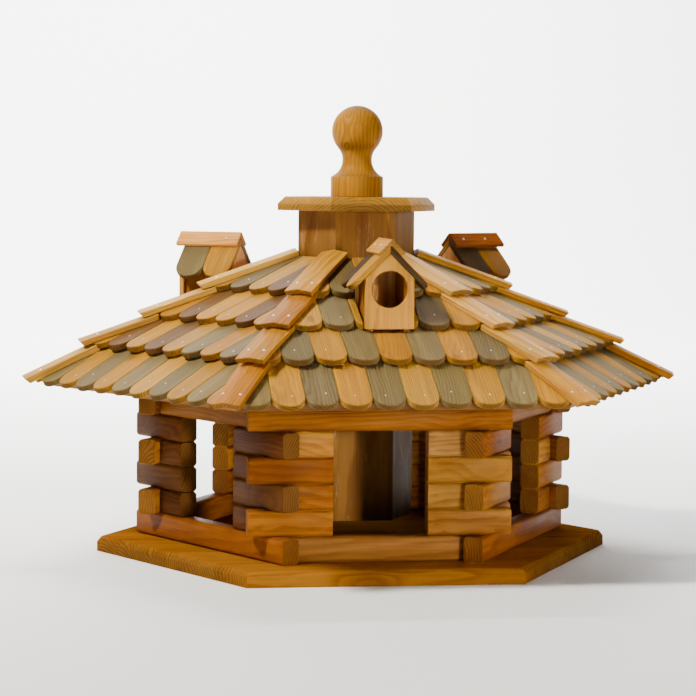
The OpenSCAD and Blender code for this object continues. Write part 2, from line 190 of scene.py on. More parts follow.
def put_up(name, stack, material, slot, body, *nodes, smooth_to=38):
    """Makes one object of a piece or a stack, and fixes it to its body in place of plain nodes."""
    mesh = bpy.data.meshes.new(name)
    stack.to_mesh(mesh)
    stack.free()
    mesh.shade_smooth()
    mesh.set_sharp_from_angle(angle=math.radians(smooth_to))
    mesh.materials.append(material)
    piece = bpy.data.objects.new(name, mesh)
    bpy.context.collection.objects.link(piece)
    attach(piece, body)
    if nodes:
        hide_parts(*nodes)


def wall_turn(wall, more=0.0):
    """Frame of one wall: x outward, y to the right as seen from outside. Wall 0 is the front."""
    return Matrix.Rotation(math.radians(-90 + 60 * wall + more), 4, "Z")


def chamfered_hexagon(corner_r, thickness, chamfer_w, chamfer_h):
    """A six-sided board, chamfered round its upper edge: the shape of the floor and the lid."""
    angles = [math.radians(60 * k) for k in range(6)]
    bm = prism([(corner_r * math.cos(angle), corner_r * math.sin(angle)) for angle in angles],
               thickness)
    for wall in range(6):
        out = wall_turn(wall).to_3x3() @ Vector((1, 0, 0))
        slope = (out * chamfer_h + Vector((0, 0, chamfer_w))).normalized()
        saw(bm, out * (corner_r * COS_30 - chamfer_w) + Vector((0, 0, thickness)), slope)
    return bm


class Nodes:
    """Short way to add and wire shader nodes in one tree."""

    def __init__(self, tree):
        self.tree = tree

    def add(self, kind, **values):
        made = self.tree.nodes.new(kind)
        for key, value in values.items():
            setattr(made, key, value)
        return made

    def join(self, source, target):
        self.tree.links.new(source, target)

    def fill(self, socket, value):
        if isinstance(value, bpy.types.NodeSocket):
            self.join(value, socket)
        else:
            socket.default_value = value

    def math(self, operation, first, second=0.0, clamp=False):
        made = self.add("ShaderNodeMath", operation=operation, use_clamp=clamp)
        for socket, value in zip(made.inputs, (first, second)):
            self.fill(socket, value)
        return made.outputs[0]

    def times(self, first, second):
        return self.math("MULTIPLY", first, second)

    def plus(self, first, second):
        return self.math("ADD", first, second)

    def minus(self, first, second):
        return self.math("SUBTRACT", first, second)

    def stretch(self, vector, scale, shift=(0, 0, 0)):
        made = self.add("ShaderNodeMapping")
        self.join(vector, made.inputs["Vector"])
        made.inputs["Scale"].default_value = scale
        made.inputs["Location"].default_value = shift
        return made.outputs[0]

    def noise(self, vector, scale, detail=2.0, rough=0.5, shift=(0, 0, 0)):
        stretched = self.stretch(vector, scale, shift)
        made = self.add("ShaderNodeTexNoise")
        self.join(stretched, made.inputs["Vector"])
        made.inputs["Scale"].default_value = 1.0
        made.inputs["Detail"].default_value = detail
        made.inputs["Roughness"].default_value = rough
        return made.outputs[0]

    def remap(self, value, low, high, to_low=0.0, to_high=1.0, smooth=False):
        made = self.add("ShaderNodeMapRange")
        made.interpolation_type = "SMOOTHSTEP" if smooth else "LINEAR"
        for socket, entry in zip(made.inputs, (value, low, high, to_low, to_high)):
            self.fill(socket, entry)
        return made.outputs[0]

    def blend(self, factor, first, second, mode="MIX"):
        made = self.add("ShaderNodeMix", data_type="RGBA", blend_type=mode)
        self.fill(made.inputs[0], factor)
        self.fill(made.inputs[6], first)
        self.fill(made.inputs[7], second)
        return made.outputs[2]

    def tinted(self, colour, tint):
        return self.blend(1.0, colour, tint, "MULTIPLY")


def timber_group():
    """Stained softwood: growth rings, fibres, knots, blotches, end grain, and edges lightened as
    wear and as painted highlight.
    """
    tree = bpy.data.node_groups.new("stained_timber", "ShaderNodeTree")
    wanted = {
        "Grain": ("NodeSocketVector", None), "Fibre way": ("NodeSocketVector", None),
        "Tint": ("NodeSocketColor", None), "Ring gap": ("NodeSocketFloat", 0.0028),
        "Ring strength": ("NodeSocketFloat", 0.5), "Fibre strength": ("NodeSocketFloat", 0.3),
        "Blotch": ("NodeSocketFloat", 0.3), "Knots": ("NodeSocketFloat", 1.0),
        "Edge wear": ("NodeSocketFloat", 0.3), "Weathering": ("NodeSocketFloat", 0.0),
        "End": ("NodeSocketColor", (0.08, 0.045, 0.018, 1)),
        "End strength": ("NodeSocketFloat", 0.6),
    }
    for name, (kind, value) in wanted.items():
        socket = tree.interface.new_socket(name, in_out="INPUT", socket_type=kind)
        if value is not None:
            socket.default_value = value
    for name, kind in (("Colour", "NodeSocketColor"), ("Roughness", "NodeSocketFloat"),
                       ("Height", "NodeSocketFloat")):
        tree.interface.new_socket(name, in_out="OUTPUT", socket_type=kind)
    n = Nodes(tree)
    given = n.add("NodeGroupInput").outputs
    result = n.add("NodeGroupOutput").inputs
    grain = given["Grain"]

    # Knots: small cells along the log, each bending the rings round it.
    cells = n.add("ShaderNodeTexVoronoi", feature="F1")
    n.join(n.stretch(grain, (9, 21, 21)), cells.inputs["Vector"])
    cells.inputs["Scale"].default_value = 1.0
    cells.inputs["Randomness"].default_value = 1.0
    off_knot = cells.outputs["Distance"]
    knot = n.times(n.remap(off_knot, 0.10, 0.05, smooth=True), given["Knots"])
    halo = n.times(n.remap(off_knot, 0.42, 0.06, smooth=True), given["Knots"])

    # Rings: distance from a pith that wanders and leans a little along the log.
    parts = n.add("ShaderNodeSeparateXYZ")
    n.join(grain, parts.inputs[0])
    wander = n.noise(grain, (5, 20, 20), 2.0)
    swing = n.times(n.minus(wander, 0.5), 0.020)
    ripple = n.noise(grain, (22, 60, 60), 3.0)
    flutter = n.times(n.minus(ripple, 0.5), 0.0042)
    lean = n.times(n.math("SINE", n.times(parts.outputs[0], 6.0)), 0.006)
    across = n.plus(parts.outputs[1], swing)
    deep = n.plus(parts.outputs[2], lean)
    radius = n.math("SQRT", n.plus(n.times(across, across), n.times(deep, deep)))
    bent = n.plus(n.plus(radius, flutter), n.times(halo, 0.007))
    turns = n.math("DIVIDE", bent, given["Ring gap"])
    phase = n.math("FRACT", turns)
    early = n.remap(phase, 0.10, 0.82, smooth=True)
    late = n.remap(phase, 0.99, 0.86, smooth=True)
    ring = n.times(early, late)
    uneven = n.noise(grain, (1.5, 45, 45), 1.0, shift=(3, 1, 2))
    ring = n.times(ring, n.remap(uneven, 0.25, 0.75, 0.45, 1.0))

    # Fibres: long fine streaks, and short dark flecks of resin.
    streak = n.noise(grain, (14, 620, 620), 4.0, 0.62)
    broad = n.noise(grain, (7, 150, 150), 3.0, 0.6, shift=(1, 5, 2))
    fleck = n.noise(grain, (95, 1300, 1300), 2.0, shift=(5, 2, 7))
    fleck = n.remap(fleck, 0.66, 0.74)
    blotch = n.noise(grain, (8, 26, 26), 3.0, 0.6, shift=(2, 9, 4))

    # End grain drinks more stain.
    facing = n.add("ShaderNodeVectorMath", operation="DOT_PRODUCT")
    surface = n.add("ShaderNodeTexCoord")
    n.join(surface.outputs["Normal"], facing.inputs[0])
    n.join(given["Fibre way"], facing.inputs[1])
    end = n.remap(n.math("ABSOLUTE", facing.outputs["Value"]), 0.45, 0.95, smooth=True)

    # Worn edges and painted highlight: lighter where a rounded normal leaves the true one.
    rounded = n.add("ShaderNodeBevel", samples=4)
    rounded.inputs["Radius"].default_value = 0.0011
    flat = n.add("ShaderNodeNewGeometry")
    near = n.add("ShaderNodeVectorMath", operation="DOT_PRODUCT")
    n.join(rounded.outputs[0], near.inputs[0])
    n.join(flat.outputs["True Normal"], near.inputs[1])
    edge = n.remap(near.outputs["Value"], 0.995, 0.90)
    rubbed_and_highlit = n.noise(grain, (60, 160, 160), 3.0)
    edge = n.times(edge, n.remap(rubbed_and_highlit, 0.35, 0.65))
    edge = n.times(edge, given["Edge wear"])

    dark = n.tinted(given["Tint"], LATE_WOOD)
    pale = n.tinted(given["Tint"], EARLY_WOOD)
    colour = n.blend(n.times(ring, given["Ring strength"]), given["Tint"], dark)
    spread = n.times(n.remap(streak, 0.35, 0.7), given["Fibre strength"])
    colour = n.blend(spread, colour, n.tinted(colour, STREAKED))
    lifted = n.times(n.remap(broad, 0.5, 0.75), given["Fibre strength"])
    colour = n.blend(lifted, colour, pale)
    stained = n.times(n.remap(blotch, 0.42, 0.72, smooth=True), given["Blotch"])
    colour = n.blend(stained, colour, n.tinted(colour, BLOTCHED))
    grey = n.times(n.remap(n.plus(streak, blotch), 0.85, 1.15), given["Weathering"])
    colour = n.blend(grey, colour, WEATHERED)
    colour = n.blend(n.times(fleck, 0.45), colour, RESIN)
    colour = n.blend(n.times(halo, 0.35), colour, dark)
    colour = n.blend(n.times(knot, 0.85), colour, KNOT)
    end_dark = n.tinted(given["End"], END_RING)
    end_grain = n.blend(n.times(ring, 0.8), given["End"], end_dark)
    colour = n.blend(n.times(end, given["End strength"]), colour, end_grain)
    # Lightened edges: partly sanding wear, partly painted highlight.
    colour = n.blend(edge, colour, pale)
    n.join(colour, result["Colour"])

    rough = n.plus(n.times(ring, -0.12), n.times(streak, 0.22))
    rough = n.plus(rough, n.times(end, 0.20))
    n.join(n.math("ADD", rough, 0.42, clamp=True), result["Roughness"])
    relief = n.plus(n.times(ring, 0.55), n.times(streak, -0.6))
    relief = n.minus(relief, n.times(fleck, 0.4))
    n.join(n.minus(relief, n.times(knot, 0.5)), result["Height"])
    return tree


timber = timber_group()


def wood(name, relief=0.00022, varnish=0.0, sheen=0.03, **values):
    """One stained wood: the timber group with its own values, a sheen and a coat of varnish."""
    material = bpy.data.materials.new(name)
    material.use_nodes = True
    n = Nodes(material.node_tree)
    shader = material.node_tree.nodes["Principled BSDF"]
    group = n.add("ShaderNodeGroup", node_tree=timber)
    for layer, socket in (("grain", "Grain"), ("fibre", "Fibre way"), ("tint", "Tint")):
        read = n.add("ShaderNodeAttribute", attribute_name=layer)
        n.join(read.outputs["Color" if layer == "tint" else "Vector"], group.inputs[socket])
    for socket, value in values.items():
        value = stain(*value) if isinstance(value, tuple) else value
        group.inputs[socket.replace("_", " ").capitalize()].default_value = value
    n.join(group.outputs["Colour"], shader.inputs["Base Color"])
    n.join(group.outputs["Roughness"], shader.inputs["Roughness"])
    bump = n.add("ShaderNodeBump")
    bump.inputs["Strength"].default_value = 1.0
    bump.inputs["Distance"].default_value = relief
    n.join(group.outputs["Height"], bump.inputs["Height"])
    n.join(bump.outputs["Normal"], shader.inputs["Normal"])
    shader.inputs["Specular IOR Level"].default_value = sheen
    shader.inputs["Coat Weight"].default_value = varnish
    shader.inputs["Coat Roughness"].default_value = COAT_ROUGHNESS
    shader.inputs["Coat IOR"].default_value = COAT_IOR
    return material


floor_r, _, floor_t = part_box("base_plate")[1]
floor_wood = wood("floor_wood", ring_strength=0.75, fibre_strength=0.4, blotch=0.35, knots=0.8,
                  ring_gap=0.0034, edge_wear=0.5, sheen=0.0)

floor_stack = bmesh.new()
floor_blank = chamfered_hexagon(floor_r, floor_t, FLOOR_CHAMFER_W, FLOOR_CHAMFER_H)
soften(floor_blank, floor_blank.edges, SAWN_EDGE)
for stave in range(-STAVES_EACH_SIDE, STAVES_EACH_SIDE + 1):
    board = floor_blank.copy()
    middle = stave * STAVE_W
    saw(board, (0, middle + STAVE_W / 2, 0), (0, 1, 0))
    saw(board, (0, middle - STAVE_W / 2, 0), (0, -1, 0))
    if board.verts:
        season(board, shade(FLOOR_STAIN, 0.08), along=(1, 0, 0))
        pile(floor_stack, board)
floor_blank.free()
put_up("floor_board", floor_stack, floor_wood, "floor_wood", "house", "base_plate", smooth_to=30)

# ------------------------------------------------------------
# Log walls: planed softwood logs with chamfered long edges, crossed and housed at the corners.
# They are stained before they are nailed up, so each has its own shade of orange brown.
WALLS = ("front", "front_right", "back_right", "back", "back_left", "front_left")
LOG_CHAMFER = 2.6 * MM
LOG_JOINT = 0.2 * MM
DOOR_HALF = 44.5 * MM
SIN_60 = math.sin(math.radians(60))
LOG_STAINS = ((0.55, 0.34, 0.10), (0.60, 0.40, 0.14), (0.49, 0.29, 0.09), (0.62, 0.43, 0.17),
              (0.57, 0.36, 0.12))
# Painted shade: the front-left wall's logs take these darker stains for the shadow the eaves cast
# on that wall.
PAINTED_SHADE_LOG_STAINS = ((0.36, 0.22, 0.10), (0.33, 0.20, 0.09), (0.38, 0.25, 0.13), (0.35, 0.21, 0.08))
PALE_LOG_STAINS = ((0.56, 0.38, 0.17), (0.58, 0.41, 0.18), (0.58, 0.40, 0.15), (0.62, 0.46, 0.25))
SILL_STAIN = (0.49, 0.285, 0.08)
FRONT_SILL_STAIN = (0.54, 0.36, 0.17)
LINTEL_STAIN = (0.46, 0.29, 0.09)

sill_low, sill_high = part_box("sill_log_back")
wall_out = sill_high[1]
log_t = sill_high[1] - sill_low[1]
log_h = sill_high[2] - sill_low[2]
log_run = sill_high[0]
wall_in = wall_out - log_t
door_low, door_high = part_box("wall_logs_front")
door_layers = round((door_high[2] - door_low[2]) / log_h)

log_wood = wood("log_wood", relief=0.00028, ring_strength=0.7, fibre_strength=0.45, blotch=0.55,
                knots=1.0, edge_wear=0.55, varnish=0.03, end=(0.42, 0.29, 0.14), end_strength=0.7)
sill_wood = wood("sill_wood", relief=0.00025, ring_strength=0.6, fibre_strength=0.5, blotch=0.4,
                 knots=0.8, edge_wear=0.5, varnish=0.02, end=(0.44, 0.29, 0.13), end_strength=0.75)


def log(start, end, bottom, through, colour, height=log_h):
    """One log, from start to end along its wall. Through logs pass the corners."""
    bm = prism([(wall_in, start), (wall_out, start), (wall_out, end), (wall_in, end)], height)
    along_wall = [edge for edge in bm.edges
                  if abs((edge.verts[0].co - edge.verts[1].co).y) > (end - start) / 2]
    soften(bm, along_wall, LOG_CHAMFER)
    soften(bm, bm.edges, SAWN_EDGE)
    bmesh.ops.translate(bm, verts=bm.verts, vec=(0, 0, bottom))
    season(bm, colour, along=(0, 1, 0), up=(1, 0, 0.3))
    if not through:
        for side in (-1, 1):
            corner = Vector((wall_in, side * (wall_in / 2 - LOG_JOINT) / SIN_60, 0))
            saw(bm, corner, (0.5, side * SIN_60, 0))
    return bm


def log_goes_through(wall, layer):
    """Walls take turns, layer by layer, to run past the corners."""
    return (wall + layer) % 2 == 1


for wall, wall_name in enumerate(WALLS):
    sill_colour = FRONT_SILL_STAIN if wall_name == "front" else shade(SILL_STAIN, 0.06)
    sill = log(-log_run, log_run, floor_t, log_goes_through(wall, 0), sill_colour)
    turn_to(sill, wall_turn(wall))
    put_up("sill_" + wall_name, sill, sill_wood, "sill_wood", "house", "sill_log_" + wall_name)

    log_stack = bmesh.new()
    for layer in range(1, door_layers + 1):
        bottom = floor_t + layer * log_h
        through = log_goes_through(wall, layer)
        # The front-left wall gets the darker stains, which are painted shade.
        stains_and_painted_light = PAINTED_SHADE_LOG_STAINS if wall_name == "front_left" else LOG_STAINS
        left = log(-log_run, -DOOR_HALF, bottom, through, shade(random.choice(stains_and_painted_light), 0.06))
        right_colour = PALE_LOG_STAINS[layer - 1] if wall_name == "front" else random.choice(stains_and_painted_light)
        right = log(DOOR_HALF, log_run, bottom, through, shade(right_colour, 0.04))
        lay(log_stack, left, wall_turn(wall))
        lay(log_stack, right, wall_turn(wall))
    put_up("logs_" + wall_name, log_stack, log_wood, "log_wood", "house", "wall_logs_" + wall_name)

# ------------------------------------------------------------
# Lintels and wall plates: three more logs over each opening. The top one is twice as high and
# planed to the slope of the roof panels, which are nailed down on it.
PITCH = math.radians(28.8)
EAVE_A = 276.4 * MM
EAVE_Z = 165.7 * MM
PANEL_T = 8 * MM
ROOF_SEAT = 0.1 * MM
ROOF_TURN = 1.9
UPPER_LAYERS = 3
ON_SLOPE = Matrix.Translation((EAVE_A, 0, EAVE_Z)) @ Matrix.Rotation(PITCH, 4, "Y")
top_layer = door_layers + UPPER_LAYERS


def slope_frame(wall):
    """Frame on one roof slope: -x up the slope from the eave line, z square out of the roof."""
    return wall_turn(wall, ROOF_TURN) @ ON_SLOPE


for wall, wall_name in enumerate(WALLS):
    upper_stack = bmesh.new()
    for layer in range(door_layers + 1, top_layer + 1):
        through = log_goes_through(wall, layer)
        height = log_h * (2 if layer == top_layer else 1)
        beam = log(-log_run, log_run, floor_t + layer * log_h, through, shade(LINTEL_STAIN, 0.07),
                   height)
        turn_to(beam, wall_turn(wall))
        for near in (-1, 0, 1):
            panel = slope_frame(wall + near)
            under = panel @ Vector((0, 0, -PANEL_T - ROOF_SEAT))
            saw(beam, under, panel.to_3x3() @ Vector((0, 0, 1)))
        pile(upper_stack, beam)
    put_up("lintels_" + wall_name, upper_stack, log_wood, "log_wood", "house",
           "upper_logs_" + wall_name)

# ------------------------------------------------------------
# Silo: six strips of pine plywood mitred and glued into a tube that holds the seed. It hangs
# from the roof panels, with a gap above the floor where the seed runs out.
SILO_STAIN = (0.51, 0.36, 0.17)
SILO_VEIN = (0.55, 0.36, 0.19, 1)
SILO_R = 58.8 * MM
SILO_T = 6 * MM
SILO_JOINT = 0.1 * MM
SILO_EDGE = 0.5 * MM
TAN_30 = math.tan(math.radians(30))

silo_low, silo_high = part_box("silo")
silo_a = SILO_R * COS_30
silo_wood = wood("silo_plywood", relief=0.00016, ring_strength=0.55, fibre_strength=0.35,
                 blotch=0.6, knots=0.5, ring_gap=0.006, edge_wear=0.35)

# Faint veins wander up the plywood's face, broken into short lengths.
n = Nodes(silo_wood.node_tree)
base = silo_wood.node_tree.nodes["Principled BSDF"].inputs["Base Color"]
stained = base.links[0].from_socket
place = n.add("ShaderNodeAttribute", attribute_name="grain").outputs["Vector"]
crack = n.noise(place, (9, 75, 75), 4.0, 0.6, shift=(4, 4, 4))
vein = n.remap(n.math("ABSOLUTE", n.minus(crack, 0.5)), 0.014, 0.003)
broken = n.noise(place, (25, 60, 60), 2.0, shift=(7, 1, 3))
vein = n.times(vein, n.remap(broken, 0.52, 0.68))
n.join(n.blend(n.times(vein, 0.3), stained, SILO_VEIN), base)

silo_in = silo_a - SILO_T
outer = (silo_a - SILO_JOINT) * TAN_30
inner = (silo_in - SILO_JOINT) * TAN_30
silo_stack = bmesh.new()
for wall in range(6):
    strip = prism([(silo_in, -inner), (silo_a, -outer), (silo_a, outer), (silo_in, inner)],
                  silo_high[2] - silo_low[2])
    bmesh.ops.translate(strip, verts=strip.verts, vec=(0, 0, silo_low[2]))
    soften(strip, strip.edges, SILO_EDGE)
    season(strip, shade(SILO_STAIN, 0.06), along=(0, 0, 1), up=(1, 0, 0))
    lay(silo_stack, strip, wall_turn(wall, ROOF_TURN))
put_up("seed_silo", silo_stack, silo_wood, "silo_plywood", "house", "silo")

# ------------------------------------------------------------
# Roof panels: six trapezoids of plywood, mitred at the hips and nailed to the wall plates.
# Only their undersides and lower edges show, so they get one thin stain and are left rough.
PANEL_STAIN = (0.55, 0.38, 0.20)
PANEL_SETBACK = 13 * MM
PANEL_JOINT = 0.4 * MM
SILO_SIDE_GAP = 0.5 * MM
panel_wood = wood("roof_plywood", ring_strength=0.4, fibre_strength=0.5, blotch=0.4, knots=0.6,
                  ring_gap=0.008, varnish=0.02)


def mitre(bm, wall, gap):
    """Saws a roof piece, in place, along the two hips beside its slope."""
    for side in (-1, 1):
        hip = wall_turn(wall + side * 0.5, ROOF_TURN).to_3x3()
        outward = hip @ Vector((0, side, 0))
        saw(bm, -outward * gap, outward)


def clear_of_silo(bm, wall):
    """Saws off what of a roof piece, in place, would run into the silo."""
    outward = wall_turn(wall, ROOF_TURN).to_3x3() @ Vector((1, 0, 0))
    saw(bm, outward * (silo_a + SILO_SIDE_GAP), -outward)


panel_low = (silo_a + SILO_SIDE_GAP - EAVE_A) / math.cos(PITCH) - PANEL_T * math.tan(PITCH)
panel_half = EAVE_A * TAN_30
for wall, wall_name in enumerate(WALLS):
    panel = prism([(panel_low, -panel_half), (-PANEL_SETBACK, -panel_half),
                   (-PANEL_SETBACK, panel_half), (panel_low, panel_half)], PANEL_T)
    bmesh.ops.translate(panel, verts=panel.verts, vec=(0, 0, -PANEL_T))
    soften(panel, panel.edges, SILO_EDGE)
    season(panel, shade(PANEL_STAIN, 0.06), along=(0, 1, 0))
    bmesh.ops.transform(panel, matrix=slope_frame(wall), verts=panel.verts)
    mitre(panel, wall, PANEL_JOINT / 2)
    clear_of_silo(panel, wall)
    put_up("roof_board_" + wall_name, panel, panel_wood, "plywood", "house",
           "roof_panel_" + wall_name)

# ------------------------------------------------------------
# Shingles: thin sawn softwood, each with a round lower end, tacked up in four courses and cut
# round the dormers. A tan and a grey stain are laid by turns, with odd darker ones among them.
SHINGLE_W = 29.7 * MM
SHINGLE_GAP = 0.4 * MM
SHINGLE_T = 6.5 * MM
SHINGLE_LEN = 80 * MM
SHINGLE_EDGE = 0.7 * MM
THINNER_BY = 0.5 * MM
SLIPS_BY = 1.6 * MM
SKEWS_BY = 0.12
COURSES = 4
COURSE_PLAY = 0.25 * MM
HIP_GAP = 1 * MM
LEAST_WIDTH = 7 * MM
ROUND_STEPS = 10
TACK_IN = (13 * MM, 22 * MM)
TACK_ASIDE = 4 * MM
TAN = (0.67, 0.48, 0.13)
HONEY = (0.65, 0.45, 0.09)
PALE = (0.71, 0.53, 0.18)
GREY = (0.44, 0.385, 0.245)
WARM_GREY = (0.47, 0.40, 0.23)
DARK = (0.27, 0.21, 0.12)
BROWN = (0.39, 0.27, 0.13)

slope_len = (EAVE_A - silo_a - SILO_SIDE_GAP) / math.cos(PITCH) - SHINGLE_T * math.tan(PITCH)
course = (slope_len - SHINGLE_LEN) / (COURSES - 1)
course_lift = (SHINGLE_T + COURSE_PLAY) * SHINGLE_LEN / course
course_tilt = math.asin(course_lift / SHINGLE_LEN)
shingle_step = SHINGLE_W + SHINGLE_GAP

shingle_wood = wood("shingle_wood", relief=0.00035, ring_strength=0.62, fibre_strength=0.5,
                    blotch=0.22, knots=0.5, ring_gap=0.0019, edge_wear=0.45, weathering=0.12,
                    end=(0.34, 0.24, 0.12), end_strength=0.85)


def shingle(width, length, thickness, colour):
    """One shingle, its round tip at the origin and its length along -x."""
    radius = width / 2
    outline = [(-length, -radius)]
    for step in range(ROUND_STEPS + 1):
        angle = math.radians(-90 + 180 * step / ROUND_STEPS)
        outline.append((-radius + radius * math.cos(angle), radius * math.sin(angle)))
    outline.append((-length, radius))
    bm = prism(outline, thickness)
    rims = [edge for edge in bm.edges
            if abs(edge.verts[0].co.z - edge.verts[1].co.z) < thickness / 2]
    soften(bm, rims, SHINGLE_EDGE)
    season(bm, colour, along=(1, 0, 0), up=(0, 1, 0.3))
    return bm


def tip_a(row):
    """Distance from the middle of the roof to a course's tips."""
    lift = course_lift if row else 0
    return EAVE_A - row * course * math.cos(PITCH) + lift * math.sin(PITCH)


def course_frame(row):
    """Place of a course on its slope: the first lies flat, later ones ride on the one below."""
    lift = course_lift if row else 0
    tilt = course_tilt if row else 0
    return Matrix.Translation((-row * course, 0, lift)) @ Matrix.Rotation(-tilt, 4, "Y")


def shingle_colour(row, column):
    """Tan and grey by turns along a course. The third course is laid out from its middle."""
    place = abs(column + 0.5) - 0.5 if row == 2 else column
    if place % 2 == 0:
        return shade(random.choice((TAN, TAN, HONEY, PALE)), 0.06)
    odd_one = random.choice((DARK, BROWN)) if row else GREY
    return shade(random.choice((GREY, WARM_GREY, GREY, GREY, odd_one)), 0.08)


DORMER_A = 183 * MM
DORMER_W = 46 * MM
DORMER_T = 5.5 * MM
DORMER_CLEAR = 1 * MM
DORMER_NEAR = 2 * MM
DORMER_OVER = 1 * MM
dormer_front_a = DORMER_A + DORMER_OVER
dormer_rear_a = dormer_front_a - 2 * shingle_step
dormer_back_a = dormer_rear_a + DORMER_OVER


def clear_of_dormer(bm, wall, row):
    """Parts a shingle that a dormer stands through into what is left beside, below and above it."""
    turned = wall_turn(wall, ROOF_TURN).to_3x3()
    half = DORMER_W / 2 + DORMER_CLEAR
    low = dormer_back_a - DORMER_CLEAR
    high = DORMER_A - DORMER_T if row < 2 else EAVE_A
    kept = []
    for side in (-1, 1):
        part = bm.copy()
        saw(part, turned @ Vector((0, side * half, 0)), turned @ Vector((0, -side, 0)))
        kept.append(part)
    middle = bm.copy()
    for side in (-1, 1):
        saw(middle, turned @ Vector((0, side * half, 0)), turned @ Vector((0, side, 0)))
    above = middle.copy()
    saw(above, turned @ Vector((low, 0, 0)), turned @ Vector((1, 0, 0)))
    saw(middle, turned @ Vector((high, 0, 0)), turned @ Vector((-1, 0, 0)))
    bm.free()
    return kept + [above, middle]


tack_places = []
for wall, wall_name in enumerate(WALLS):
    field = bmesh.new()
    for row in range(COURSES):
        half_width = tip_a(row) * TAN_30 - HIP_GAP
        shift = 0.5 if row % 2 == 0 else 0
        columns = math.ceil(half_width / shingle_step) + 1
        for column in range(-columns, columns + 1):
            middle = (column + shift) * shingle_step
            if abs(middle) - SHINGLE_W / 2 >= half_width - LEAST_WIDTH:
                continue
            thickness = SHINGLE_T - random.uniform(0, THINNER_BY)
            piece = shingle(SHINGLE_W, SHINGLE_LEN, thickness, shingle_colour(row, column))
            slip = Matrix.Translation((-random.uniform(0, SLIPS_BY), middle, 0))
            skew = Matrix.Rotation(math.radians(random.uniform(-SKEWS_BY, SKEWS_BY)), 4, "Z")
            place = slope_frame(wall) @ course_frame(row) @ slip @ skew
            turn_to(piece, place)
            mitre(piece, wall, HIP_GAP)
            clear_of_silo(piece, wall)
            beside_dormer = (DORMER_W + SHINGLE_W) / 2 + DORMER_NEAR
            in_way = wall % 2 == 0 and row > 0 and abs(middle) < beside_dormer
            tack = (-random.uniform(*TACK_IN), random.uniform(-TACK_ASIDE, TACK_ASIDE), thickness)
            if not in_way and abs(middle) < half_width - SHINGLE_W:
                tack_places.append(place @ Matrix.Translation(tack))
            for part in clear_of_dormer(piece, wall, row) if in_way else [piece]:
                if len(part.verts) > 3:
                    pile(field, part)
                else:
                    part.free()
    put_up("shingles_on_" + wall_name, field, shingle_wood, "shingle_wood", "house",
           "shingles_" + wall_name)

# ------------------------------------------------------------
# Hip caps: one shallow V of planed pine to each course, lapping like ridge tiles and nailed
# through both flanges. Their lower ends are sawn with an undercut that sheds rain.
CAP_W = 14 * MM
CAP_LAP_PLAY = 1.1 * MM
CAP_TUCK = 14 * MM
CAP_OVER = 8 * MM
CAP_PLAY = 0.15 * MM
CAP_UNDERCUT = math.radians(25)
CAP_EDGE = 0.6 * MM
ORANGE_CAPS = ((0.69, 0.47, 0.11), (0.66, 0.43, 0.09), (0.72, 0.51, 0.15), (0.63, 0.40, 0.08))
# Painted light: the caps on the front-right and left hips take these paler stains for the light
# those flanges catch.
PAINTED_LIGHT_CAPS = ((0.78, 0.59, 0.24), (0.75, 0.54, 0.19), (0.80, 0.61, 0.28), (0.74, 0.55, 0.22))
PAINTED_LIGHT_HIPS = ("front_right", "left")
HIPS = ("front_right", "right", "back_right", "back_left", "left", "front_left")
cap_wood = wood("cap_wood", relief=0.00028, ring_strength=0.6, fibre_strength=0.5, blotch=0.35,
                knots=0.5, ring_gap=0.003, edge_wear=0.5, varnish=0.04)


def face_slope(row):
    """Slope of the shingles' faces: courses that ride on another lie flatter than the roof."""
    return PITCH - (course_tilt if row else 0)


def top_a(row):
    """Distance from the middle of the roof to the upper edge of a course's tips."""
    return tip_a(row) + (SHINGLE_T + CAP_PLAY) * math.sin(face_slope(row))


def top_z(row):
    """Height of the upper edge of a course's tips."""
    lift = course_lift if row else 0
    tip_z = EAVE_Z + row * course * math.sin(PITCH) + lift * math.cos(PITCH)
    return tip_z + (SHINGLE_T + CAP_PLAY) * math.cos(face_slope(row))


def cap_seat_z(row, radius):
    """Height of a cap's underside on the hip line, at a distance from the middle of the roof."""
    return top_z(row) + (top_a(row) - radius * COS_30) * math.tan(face_slope(row))


def cap_t(row):
    """A cap fills the step up to the next course, less the play under the next cap."""
    if row == COURSES - 1:
        return SHINGLE_T + COURSE_PLAY - CAP_LAP_PLAY
    tuck_r = top_a(row + 1) / COS_30 - CAP_TUCK
    step = cap_seat_z(row + 1, tuck_r) - cap_seat_z(row, tuck_r)
    return step * math.cos(face_slope(row)) - CAP_LAP_PLAY


def cap_place(row):
    """Radius of a cap's lower and upper ends, height of its lower end, and its slope and dip."""
    low_r = top_a(row) / COS_30 + CAP_OVER
    end_r = SILO_R + SILO_SIDE_GAP if row == COURSES - 1 else top_a(row + 1) / COS_30 - CAP_TUCK
    high_r = end_r + cap_t(row) * math.tan(face_slope(row))
    low_z = cap_seat_z(row, low_r) + cap_t(row) / math.cos(face_slope(row))
    slope = math.atan(math.tan(face_slope(row)) * COS_30)
    dip = math.asin(math.sin(face_slope(row)) / 2)
    return low_r, high_r, low_z, slope, dip


def hip_turn(hip, more=0.0):
    """Frame of one hip, turned with the roof: x outward along it. Hip 0 is the front right."""
    return Matrix.Rotation(math.radians(-60 + 60 * hip + ROOF_TURN + more), 4, "Z")


